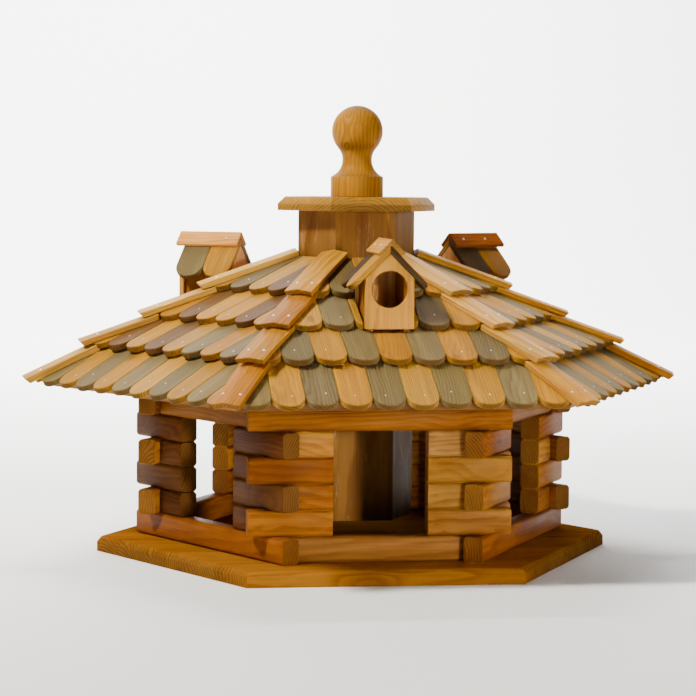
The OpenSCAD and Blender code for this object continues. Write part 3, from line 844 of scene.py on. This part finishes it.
lengthwise = Matrix.Rotation(math.radians(-90), 4, "Z") @ Matrix.Rotation(math.radians(90), 4, "X")
for hip, hip_name in enumerate(HIPS):
    # The front-right and left hips get the paler stains, which are painted light.
    stains_and_painted_light = PAINTED_LIGHT_CAPS if hip_name in PAINTED_LIGHT_HIPS else ORANGE_CAPS
    caps = bmesh.new()
    for row in range(COURSES):
        low_r, high_r, low_z, slope, dip = cap_place(row)
        thickness = cap_t(row)
        edge_z = -CAP_W * math.tan(dip)
        foot_y = CAP_W - thickness * math.sin(dip)
        foot_z = edge_z - thickness * math.cos(dip)
        length = (low_r - high_r) / math.cos(slope)
        cap = prism([(0, 0), (-CAP_W, edge_z), (-foot_y, foot_z), (0, -thickness / math.cos(dip)),
                     (foot_y, foot_z), (CAP_W, edge_z)], length)
        bmesh.ops.transform(cap, matrix=lengthwise, verts=cap.verts)
        saw(cap, (0, 0, 0), (math.cos(CAP_UNDERCUT), 0, -math.sin(CAP_UNDERCUT)))
        soften(cap, cap.edges, CAP_EDGE)
        season(cap, shade(random.choice(stains_and_painted_light), 0.05), along=(1, 0, 0))
        lay(caps, cap, hip_turn(hip) @ Matrix.Translation((low_r, 0, low_z))
            @ Matrix.Rotation(slope, 4, "Y"))
    put_up("caps_" + hip_name, caps, cap_wood, "cap_wood", "house", "hip_caps_" + hip_name,
           smooth_to=20)

# ------------------------------------------------------------
# Dormers: three little gabled houses on every other slope. Each has a front board with a round
# hole, two cheeks, a rear board, two shingles on either slope and an angled ridge cap.
DORMERS = (("front", 0), ("right", 2), ("left", 4))
# The front ridge cap has its own stain. The right one's dark stain is painted shade from the silo
# and lid, and the left one's pale stain is painted light from the key.
RIDGE_STAINS_AND_PAINTED_LIGHT = {
    "front": (0.74, 0.52, 0.18), "right": (0.48, 0.26, 0.06), "left": (0.84, 0.60, 0.30),
}
# The right dormer's darker tan is painted shade. The other shingle stains are their own.
TILE_STAINS_AND_PAINTED_SHADE = {"front": (TAN, DARK), "right": ((0.52, 0.36, 0.12), DARK), "left": (TAN, GREY)}
RIDGE_Z = 315.3 * MM
RIDGE_LEG = 18 * MM
RIDGE_T = 4 * MM
RIDGE_OVER = 7.8 * MM
FOOT_Z = 232 * MM
HOLE_R = 17.2 * MM
HOLE_H = 36.6 * MM
HOLE_STEPS = 40
CHEEK_INSET = 3 * MM
DORMER_SHINGLE_T = 5.5 * MM
DORMER_SHINGLE_LEN = 49 * MM
MITRE_SPARE = 1.5 * DORMER_SHINGLE_T
DORMER_STAIN = (0.78, 0.57, 0.23)
BOX_STAIN = (0.60, 0.39, 0.17)
# Painted light: the rear board, seen through the hole, is stained much paler for the light falling
# into the dormer.
PAINTED_LIGHT_REAR_STAIN = (0.88, 0.66, 0.40)
gable_z = RIDGE_Z - (RIDGE_T + DORMER_SHINGLE_T) * math.sqrt(2)
dormer_wood = wood("dormer_wood", relief=0.0003, ring_strength=0.5, fibre_strength=0.45, blotch=0.3,
                   knots=0.3, ring_gap=0.003, edge_wear=0.5, varnish=0.02)
UPRIGHT = Matrix(((0, 0, 1, 0), (1, 0, 0, 0), (0, 1, 0, 0), (0, 0, 0, 1)))


def upright(outline, front_a, thickness):
    """A board drawn by width and height, stood across the dormer with its face at front_a."""
    bm = prism(outline, thickness)
    stand = Matrix.Translation((front_a - thickness, 0, 0)) @ UPRIGHT
    bmesh.ops.transform(bm, matrix=stand, verts=bm.verts)
    bmesh.ops.recalc_face_normals(bm, faces=bm.faces)
    return bm


def gable(half, foot):
    """Outline of a dormer's front and rear boards, with a right-angled peak."""
    eaves = gable_z - half
    return [(-half, foot), (half, foot), (half, eaves), (0, gable_z), (-half, eaves)]


def holed_front(half, foot):
    """The front board: a gable with a round hole bored through it."""
    bm = bmesh.new()
    angles = [math.tau * k / HOLE_STEPS for k in range(HOLE_STEPS)]
    ring = [(HOLE_R * math.sin(angle), foot + HOLE_H + HOLE_R * math.cos(angle))
            for angle in angles]
    rims = []
    for loop in (gable(half, foot), ring):
        verts = [bm.verts.new((x, y, 0)) for x, y in loop]
        rims += [bm.edges.new(pair) for pair in zip(verts, verts[1:] + verts[:1])]
    bmesh.ops.triangle_fill(bm, edges=rims, use_beauty=True, use_dissolve=False)
    raised = bmesh.ops.extrude_face_region(bm, geom=list(bm.faces))["geom"]
    lifted = [part for part in raised if isinstance(part, bmesh.types.BMVert)]
    bmesh.ops.translate(bm, verts=lifted, vec=(0, 0, DORMER_T))
    bmesh.ops.recalc_face_normals(bm, faces=bm.faces)
    corners = [edge for edge in bm.edges if edge.calc_face_angle(0) > math.radians(30)]
    soften(bm, corners, CAP_EDGE)
    stand = Matrix.Translation((DORMER_A - DORMER_T, 0, 0)) @ UPRIGHT
    bmesh.ops.transform(bm, matrix=stand, verts=bm.verts)
    return bm


def tile_middle(place_no):
    """Distance from the middle of the roof to the middle of a dormer's first or second shingle."""
    return dormer_front_a - (place_no + 0.5) * shingle_step


for dormer_name, wall in DORMERS:
    turned = wall_turn(wall, ROOF_TURN)
    board = holed_front(DORMER_W / 2, FOOT_Z)
    season(board, shade(DORMER_STAIN, 0.04), along=(0, 0, 1), up=(1, 0, 0))
    turn_to(board, turned)
    put_up("dormer_front_" + dormer_name, board, dormer_wood, "dormer_wood", "house",
           "dormer_board_" + dormer_name)

    wall_stack = bmesh.new()
    cheek_s = DORMER_W / 2 - CHEEK_INSET
    cheek_len = DORMER_A - DORMER_T - dormer_back_a - DORMER_T
    boards = [upright(gable(DORMER_W / 2, EAVE_Z), dormer_back_a + DORMER_T, DORMER_T)]
    for side in (-1, 1):
        outer = side * cheek_s
        inner = side * (cheek_s - DORMER_T)
        boards.append(upright([(outer, EAVE_Z), (outer, gable_z - cheek_s),
                               (inner, gable_z - cheek_s + DORMER_T), (inner, EAVE_Z)],
                              DORMER_A - DORMER_T, cheek_len))
    for board in boards:
        soften(board, board.edges, SILO_EDGE)
        # The rear board takes the pale stain, which is painted light. The cheeks take their own
        # stain.
        board_stain_and_painted_light = PAINTED_LIGHT_REAR_STAIN if board is boards[0] else BOX_STAIN
        season(board, shade(board_stain_and_painted_light, 0.06), along=(0, 0, 1), up=(0, 1, 0))
        saw(board, ON_SLOPE.translation, ON_SLOPE.to_3x3() @ Vector((0, 0, -1)))
        lay(wall_stack, board, turned)
    put_up("dormer_box_" + dormer_name, wall_stack, dormer_wood, "dormer_wood", "house",
           "dormer_walls_" + dormer_name)

    tiles = bmesh.new()
    for side in (-1, 1):
        for place_no in (0, 1):
            # The right dormer's shingles take a darker tan as painted shade.
            colour = TILE_STAINS_AND_PAINTED_SHADE[dormer_name][(place_no + (side > 0)) % 2]
            tile = shingle(SHINGLE_W, DORMER_SHINGLE_LEN + MITRE_SPARE, DORMER_SHINGLE_T,
                           shade(colour, 0.05))
            saw(tile, (-DORMER_SHINGLE_LEN, 0, 0), Vector((-1, 0, -1)).normalized())
            down = Matrix.Translation((DORMER_SHINGLE_LEN, 0, 0))
            flat_turn = Matrix.Rotation(math.radians(90 * side), 4, "Z")
            roll = Matrix.Rotation(math.radians(-45 * side), 4, "X")
            peak = Matrix.Translation((tile_middle(place_no), 0, gable_z))
            lay(tiles, tile, turned @ peak @ roll @ flat_turn @ down)
    put_up("dormer_tiles_" + dormer_name, tiles, shingle_wood, "shingle_wood", "house",
           "dormer_shingles_" + dormer_name)

    reach = RIDGE_LEG / math.sqrt(2)
    notch = RIDGE_T / math.sqrt(2)
    outline = [(0, RIDGE_Z), (reach, RIDGE_Z - reach), (reach - notch, RIDGE_Z - reach - notch),
               (0, RIDGE_Z - RIDGE_T * math.sqrt(2)), (notch - reach, RIDGE_Z - reach - notch),
               (-reach, RIDGE_Z - reach)]
    ridge_a = dormer_front_a + RIDGE_OVER
    ridge = upright(outline, ridge_a, ridge_a - dormer_rear_a)
    soften(ridge, ridge.edges, SAWN_EDGE)
    # Painted shade on the right ridge cap and painted light on the left one.
    season(ridge, shade(RIDGE_STAINS_AND_PAINTED_LIGHT[dormer_name], 0.03), along=(1, 0, 0))
    turn_to(ridge, turned)
    put_up("dormer_cap_" + dormer_name, ridge, cap_wood, "cap_wood", "house",
           "dormer_ridge_" + dormer_name, smooth_to=25)

# ------------------------------------------------------------
# Nails: small galvanised heads, slightly domed. Each hip cap has two, one in either flange,
# and each ridge cap has four. Smaller tacks of the same steel hold the shingles.
NAIL_R = 1.3 * MM
NAIL_H = 0.5 * MM
CAP_NAIL_IN = 9 * MM
TACK_R = 0.75 * MM
TACK_H = 0.3 * MM
NAIL_SIDES = 12
NAIL_TOP = 0.55
BRIGHT_ZINC = (0.72, 0.71, 0.68, 1)
DULL_ZINC = (0.36, 0.33, 0.28, 1)

nail_steel = bpy.data.materials.new("nail_steel")
nail_steel.use_nodes = True
n = Nodes(nail_steel.node_tree)
shader = nail_steel.node_tree.nodes["Principled BSDF"]
spot = n.add("ShaderNodeTexCoord").outputs["Object"]
dull = n.noise(spot, (900, 900, 900), 3.0)
zinc = n.blend(n.remap(dull, 0.35, 0.7), BRIGHT_ZINC, DULL_ZINC)
n.join(zinc, shader.inputs["Base Color"])
n.join(n.remap(dull, 0.3, 0.7, 0.28, 0.5), shader.inputs["Roughness"])
shader.inputs["Metallic"].default_value = 0.9


def drive(stack, place, radius=NAIL_R, height=NAIL_H):
    """Drives one nail: its head is a low dome on the wood's surface."""
    bm = bmesh.new()
    bmesh.ops.create_cone(bm, cap_ends=True, segments=NAIL_SIDES, radius1=radius,
                          radius2=radius * NAIL_TOP, depth=height,
                          matrix=place @ Matrix.Translation((0, 0, height / 2)))
    pile(stack, bm)


cap_nails = bmesh.new()
for hip in range(6):
    for row in range(COURSES):
        for side in (-1, 1):
            beside = side * (CAP_W / 2 - (top_a(row) - CAP_NAIL_IN) * TAN_30)
            spot = Matrix.Translation((-CAP_NAIL_IN, beside, SHINGLE_T + CAP_PLAY + cap_t(row)))
            drive(cap_nails, hip_turn(hip, 30 * side) @ ON_SLOPE @ course_frame(row) @ spot)
put_up("cap_nail_heads", cap_nails, nail_steel, "nail_steel", "house", "hip_cap_nails")

ridge_nails = bmesh.new()
for dormer_name, wall in DORMERS:
    for side in (-1, 1):
        for place_no in (0, 1):
            spot = (wall_turn(wall, ROOF_TURN)
                    @ Matrix.Translation((tile_middle(place_no), 0, RIDGE_Z))
                    @ Matrix.Rotation(math.radians(-45 * side), 4, "X")
                    @ Matrix.Translation((0, side * RIDGE_LEG / 2, 0)))
            drive(ridge_nails, spot)
put_up("ridge_nail_heads", ridge_nails, nail_steel, "nail_steel", "house", "dormer_nails")

tacks = bmesh.new()
for place in tack_places:
    drive(tacks, place, TACK_R, TACK_H)
put_up("shingle_tacks", tacks, nail_steel, "nail_steel", "house")

# ------------------------------------------------------------
# Lid: a chamfered hexagon of solid pine that lies loose on the silo, turned a little on it.
# A disc under it keeps it in the silo's mouth, and a dowel holds disc, lid and finial together.
LID_R = 80 * MM
LID_TURN = 3.7
LID_CHAMFER_W = 6.5 * MM
LID_CHAMFER_H = 7.2 * MM
LID_STAIN = (0.64, 0.46, 0.14)
PLAIN_STAIN = (0.76, 0.62, 0.42)
PLUG_STEPS = 64

lid_low, lid_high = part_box("lid_plate")
lid_t = lid_high[2] - lid_low[2]
lid_wood = wood("lid_wood", relief=0.00028, ring_strength=0.75, fibre_strength=0.4, blotch=0.3,
                knots=0.3, ring_gap=0.0032, edge_wear=0.5, varnish=0.05)
lid = chamfered_hexagon(LID_R, lid_t, LID_CHAMFER_W, LID_CHAMFER_H)
soften(lid, lid.edges, SAWN_EDGE, 2)
season(lid, LID_STAIN, along=(0.35, 1, 0))
lid_rest = Matrix.Translation((0, 0, lid_low[2]))
turn_to(lid, lid_rest @ Matrix.Rotation(math.radians(LID_TURN), 4, "Z"))
put_up("lid_board", lid, lid_wood, "lid_wood", "lid", "lid_plate", smooth_to=25)

plain_wood = wood("plain_wood", ring_strength=0.5, fibre_strength=0.4, blotch=0.2)
for name, node, along in (("plug_disc", "lid_plug", (1, 0, 0)),
                          ("dowel_rod", "lid_dowel", (0, 0, 1))):
    low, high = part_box(node)
    radius = high[0]
    angles = [math.tau * k / PLUG_STEPS for k in range(PLUG_STEPS)]
    turned_piece = prism([(radius * math.cos(angle), radius * math.sin(angle)) for angle in angles],
                         high[2] - low[2])
    rims = [edge for edge in turned_piece.edges
            if abs(edge.verts[0].co.z - edge.verts[1].co.z) < MM]
    soften(turned_piece, rims, SAWN_EDGE, 2)
    season(turned_piece, PLAIN_STAIN, along=along, up=(0, 1, 0))
    turn_to(turned_piece, Matrix.Translation((0, 0, low[2])))
    put_up(name, turned_piece, plain_wood, "plain_wood", "lid", node)

# ------------------------------------------------------------
# Finial: turned on the lathe from one block, with a straight foot, a hollow neck and a ball.
# It is the handle that lifts the lid. The grain runs up and down, so the ball shows rings.
BALL_R = 25.3 * MM
BALL_H = 64.9 * MM
NECK_R = 14.7 * MM
FOOT_R = 26.1 * MM
FOOT_H = 19.9 * MM
FOOT_CURVE_R = 18 * MM
FINIAL_STAIN = (0.66, 0.46, 0.12)
CURVE_STEPS = 14
BALL_STEPS = 30
SPIN_STEPS = 96

finial_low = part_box("finial")[0]
finial_wood = wood("finial_wood", relief=0.00018, ring_strength=0.6, fibre_strength=0.35,
                   blotch=0.3, knots=0.0, ring_gap=0.0036, edge_wear=0.4, varnish=0.08)
curve_x = NECK_R + FOOT_CURVE_R
curve_z = FOOT_H + math.sqrt(FOOT_CURVE_R ** 2 - (curve_x - FOOT_R) ** 2)
ball_drop = BALL_H - curve_z
ball_curve_r = (ball_drop ** 2 + NECK_R ** 2 - BALL_R ** 2) / (2 * (BALL_R - NECK_R))
ball_join = math.atan2(-ball_drop, NECK_R + ball_curve_r)
foot_start = -math.pi + math.asin((curve_z - FOOT_H) / FOOT_CURVE_R)


def arc(x, z, radius, start, end, steps):
    """Points along an arc, without its first one."""
    angles = [start + (end - start) * k / steps for k in range(1, steps + 1)]
    return [(x + radius * math.cos(angle), z + radius * math.sin(angle)) for angle in angles]


profile = [(0, 0), (FOOT_R - SAWN_EDGE, 0), (FOOT_R, SAWN_EDGE), (FOOT_R, FOOT_H / 2)]
profile += [(FOOT_R, FOOT_H - SAWN_EDGE), (FOOT_R - SAWN_EDGE / 2, FOOT_H)]
profile += arc(curve_x, curve_z, FOOT_CURVE_R, foot_start, -math.pi, CURVE_STEPS)
profile += arc(NECK_R + ball_curve_r, curve_z, ball_curve_r, math.pi, math.pi + ball_join,
               CURVE_STEPS)
profile += arc(0, BALL_H, BALL_R, ball_join, math.pi / 2, BALL_STEPS)

finial = bmesh.new()
line = [finial.verts.new((x, 0, z)) for x, z in profile]
edges = [finial.edges.new(pair) for pair in zip(line, line[1:])]
bmesh.ops.spin(finial, geom=line + edges, axis=(0, 0, 1), cent=(0, 0, 0), angle=math.tau,
               steps=SPIN_STEPS, use_merge=True)
bmesh.ops.remove_doubles(finial, verts=finial.verts, dist=1e-6)
bmesh.ops.recalc_face_normals(finial, faces=finial.faces)
season(finial, FINIAL_STAIN, along=(0.12, 0.25, 1), up=(0.3, 1, 0))
turn_to(finial, Matrix.Translation((0, 0, finial_low[2])))
put_up("ball_finial", finial, finial_wood, "finial_wood", "lid", "finial", smooth_to=30)

# ------------------------------------------------------------
# Stage: a plain pale floor that sweeps up behind. A key light stands high on the left, a weak
# narrow one in front lifts the walls under the eaves, and one over the back lights the sweep.
SWEEP_R = 1.6
SWEEP_HALF = 9.0
SWEEP_BACK = 3.2
SWEEP_FRONT = -6.0
SWEEP_TOP = 6.0
SWEEP_STEP = 6
PAPER = (0.92, 0.92, 0.91, 1)
SKY = (1.0, 0.99, 0.97, 1)
SKY_STRENGTH = 0.11

sweep = bmesh.new()
path = [(SWEEP_FRONT, 0.0), (SWEEP_BACK, 0.0)]
bends = [math.radians(degrees) for degrees in range(SWEEP_STEP, 91, SWEEP_STEP)]
path += [(SWEEP_BACK + SWEEP_R * math.sin(bend), SWEEP_R - SWEEP_R * math.cos(bend))
         for bend in bends]
path.append((SWEEP_BACK + SWEEP_R, SWEEP_TOP))
rail = [sweep.verts.new((-SWEEP_HALF, y, z)) for y, z in path]
rail_edges = [sweep.edges.new(pair) for pair in zip(rail, rail[1:])]
drawn = bmesh.ops.extrude_edge_only(sweep, edges=rail_edges)["geom"]
far_side = [part for part in drawn if isinstance(part, bmesh.types.BMVert)]
bmesh.ops.translate(sweep, verts=far_side, vec=(2 * SWEEP_HALF, 0, 0))
bmesh.ops.recalc_face_normals(sweep, faces=sweep.faces)
sweep_mesh = bpy.data.meshes.new("studio_floor")
sweep.to_mesh(sweep_mesh)
sweep.free()
sweep_mesh.shade_smooth()
paper = bpy.data.materials.new("studio_paper")
paper.use_nodes = True
paper_shader = paper.node_tree.nodes["Principled BSDF"]
paper_shader.inputs["Base Color"].default_value = PAPER
paper_shader.inputs["Roughness"].default_value = 0.9
paper_shader.inputs["Specular IOR Level"].default_value = 0.1
sweep_mesh.materials.append(paper)
studio_floor = bpy.data.objects.new("studio_floor", sweep_mesh)
bpy.context.collection.objects.link(studio_floor)

world = bpy.data.worlds.new("pale_sky")
world.use_nodes = True
sky = world.node_tree.nodes["Background"]
sky.inputs["Color"].default_value = SKY
sky.inputs["Strength"].default_value = SKY_STRENGTH
bpy.context.scene.world = world


def lamp(name, place, size, power, colour, aim=(0, 0, 0.2), spread=180):
    """A square soft light that looks at the middle of the feeder, or at another point."""
    data = bpy.data.lights.new(name, "AREA")
    data.size = size
    data.energy = power
    data.color = colour
    data.spread = math.radians(spread)
    made = bpy.data.objects.new(name, data)
    look = (Vector(aim) - Vector(place)).to_track_quat("-Z", "Y")
    made.matrix_world = Matrix.Translation(place) @ look.to_matrix().to_4x4()
    bpy.context.collection.objects.link(made)


lamp("key", place=(-1.97, -0.84, 2.58), size=0.4, power=195, colour=(1.0, 0.96, 0.88))
lamp("front", place=(1.05, -2.72, 0.45), size=0.4, power=0.85, colour=(1.0, 0.95, 0.86),
     aim=(0, -0.1, 0.13), spread=12)
lamp("backdrop", place=(0, 1.8, 3.4), size=2.0, power=950, colour=(1.0, 1.0, 1.0),
     aim=(0, 4.8, 1.2))
